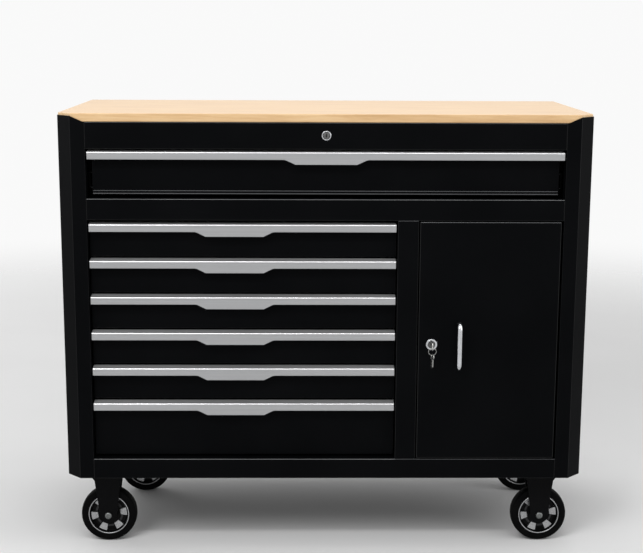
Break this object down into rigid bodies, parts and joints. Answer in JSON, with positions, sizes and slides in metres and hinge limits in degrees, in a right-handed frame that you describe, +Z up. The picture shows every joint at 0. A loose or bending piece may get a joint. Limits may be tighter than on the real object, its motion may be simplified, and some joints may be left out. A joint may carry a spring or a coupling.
{
  "type": "mobile tool cart",
  "caption": "Wheeled steel tool cabinet with a wood worktop, full-width and side-bank drawers, a keyed locker door and casters.",
  "frame": {"origin": "on the floor, under the middle of the whole cart's box", "axes": "+X along the cart's width towards the locker, +Y from the drawer fronts to the back, +Z up"},
  "size_m": [1.168, 0.5358, 0.9906],
  "materials": {
    "black_paint": "satin powder coat",
    "beech": "clear lacquer, edge-glued staves",
    "satin_aluminium": "satin anodised",
    "chrome": "polished",
    "key_steel": "nickel plated",
    "zinc_plate": "bright zinc",
    "tyre_rubber": "matte",
    "silver_wheel": "silver",
    "black_steel": "black lacquer"
  },
  "bodies": {
    "cabinet": {"corner_post_left": "black_paint", "corner_post_right": "black_paint", "side_panel_left": "black_paint", "side_panel_right": "black_paint", "top_rail": "black_paint", "mid_rail": "black_paint", "bottom_rail": "black_paint", "centre_stile": "black_paint", "back_panel": "black_paint", "base_pan": "black_paint", "mid_deck": "black_paint", "top_deck": "black_paint", "centre_partition": "black_paint", "locker_shelf": "black_paint", "wood_top": "beech", "slide_rack_left": "zinc_plate", "slide_rack_right": "zinc_plate", "top_slide_left": "zinc_plate", "top_slide_right": "zinc_plate", "top_lock_housing": "chrome", "caster_bracket_front_left": "black_steel", "caster_bracket_front_right": "black_steel", "axle_front_left": "zinc_plate", "axle_front_right": "zinc_plate", "swivel_plate_rear_left": "black_steel", "swivel_plate_rear_right": "black_steel"},
    "top_drawer": {"top_drawer_box": "black_paint", "top_drawer_handle": "satin_aluminium"},
    "drawer_1": {"drawer_1_box": "black_paint", "drawer_1_handle": "satin_aluminium"},
    "drawer_2": {"drawer_2_box": "black_paint", "drawer_2_handle": "satin_aluminium"},
    "drawer_3": {"drawer_3_box": "black_paint", "drawer_3_handle": "satin_aluminium"},
    "drawer_4": {"drawer_4_box": "black_paint", "drawer_4_handle": "satin_aluminium"},
    "drawer_5": {"drawer_5_box": "black_paint", "drawer_5_handle": "satin_aluminium"},
    "drawer_6": {"drawer_6_box": "black_paint", "drawer_6_handle": "satin_aluminium"},
    "door": {"door_panel": "black_paint", "door_pull": "chrome", "door_lock_housing": "chrome"},
    "door_lock": {"door_lock_plug": "chrome", "door_key": "key_steel"},
    "key_ring": {"key_ring": "key_steel", "spare_key": "key_steel"},
    "top_lock": {"top_lock_plug": "chrome"},
    "wheel_front_left": {"wheel_core_front_left": "silver_wheel", "tyre_front_left": "tyre_rubber"},
    "wheel_front_right": {"wheel_core_front_right": "silver_wheel", "tyre_front_right": "tyre_rubber"},
    "swivel_rear_left": {"caster_fork_rear_left": "black_steel", "axle_rear_left": "zinc_plate"},
    "wheel_rear_left": {"wheel_core_rear_left": "silver_wheel", "tyre_rear_left": "tyre_rubber"},
    "swivel_rear_right": {"caster_fork_rear_right": "black_steel", "axle_rear_right": "zinc_plate"},
    "wheel_rear_right": {"wheel_core_rear_right": "silver_wheel", "tyre_rear_right": "tyre_rubber"}
  },
  "joints": [
    {"name": "top_drawer_slide", "type": "slide", "parent": "cabinet", "child": "top_drawer", "axis": [0, -1, 0], "range_m": [0, 0.3]},
    {"name": "drawer_1_slide", "type": "slide", "parent": "cabinet", "child": "drawer_1", "axis": [0, -1, 0], "range_m": [0, 0.3]},
    {"name": "drawer_2_slide", "type": "slide", "parent": "cabinet", "child": "drawer_2", "axis": [0, -1, 0], "range_m": [0, 0.3]},
    {"name": "drawer_3_slide", "type": "slide", "parent": "cabinet", "child": "drawer_3", "axis": [0, -1, 0], "range_m": [0, 0.3]},
    {"name": "drawer_4_slide", "type": "slide", "parent": "cabinet", "child": "drawer_4", "axis": [0, -1, 0], "range_m": [0, 0.3]},
    {"name": "drawer_5_slide", "type": "slide", "parent": "cabinet", "child": "drawer_5", "axis": [0, -1, 0], "range_m": [0, 0.3]},
    {"name": "drawer_6_slide", "type": "slide", "parent": "cabinet", "child": "drawer_6", "axis": [0, -1, 0], "range_m": [0, 0.3]},
    {"name": "door_hinge", "type": "hinge", "parent": "cabinet", "child": "door", "pos_m": [0.5085, -0.2231, 0.2175], "axis": [0, 0, 1], "range_deg": [0, 105]},
    {"name": "door_lock_turn", "type": "hinge", "parent": "door", "child": "door_lock", "pos_m": [0.236, -0.2321, 0.4815], "axis": [0, 1, 0], "range_deg": [0, 90]},
    {"name": "key_ring_swing", "type": "hinge", "parent": "door_lock", "child": "key_ring", "pos_m": [0.236, -0.2556, 0.471], "axis": [0, 1, 0], "range_deg": [-100, 100]},
    {"name": "top_lock_turn", "type": "hinge", "parent": "cabinet", "child": "top_lock", "pos_m": [0, -0.2321, 0.9445], "axis": [0, 1, 0], "range_deg": [0, 90]},
    {"name": "wheel_front_left_spin", "type": "hinge", "parent": "cabinet", "child": "wheel_front_left", "pos_m": [-0.4983, -0.1671, 0.064], "axis": [0, 1, 0], "continuous": true},
    {"name": "wheel_front_right_spin", "type": "hinge", "parent": "cabinet", "child": "wheel_front_right", "pos_m": [0.4983, -0.1671, 0.064], "axis": [0, 1, 0], "continuous": true},
    {"name": "swivel_rear_left_turn", "type": "hinge", "parent": "cabinet", "child": "swivel_rear_left", "pos_m": [-0.48, 0.1629, 0.1565], "axis": [0, 0, 1], "continuous": true},
    {"name": "wheel_rear_left_spin", "type": "hinge", "parent": "swivel_rear_left", "child": "wheel_rear_left", "pos_m": [-0.452, 0.1629, 0.064], "axis": [0, 1, 0], "continuous": true},
    {"name": "swivel_rear_right_turn", "type": "hinge", "parent": "cabinet", "child": "swivel_rear_right", "pos_m": [0.48, 0.1629, 0.1565], "axis": [0, 0, 1], "continuous": true},
    {"name": "wheel_rear_right_spin", "type": "hinge", "parent": "swivel_rear_right", "child": "wheel_rear_right", "pos_m": [0.508, 0.1629, 0.064], "axis": [0, 1, 0], "continuous": true}
  ]
}
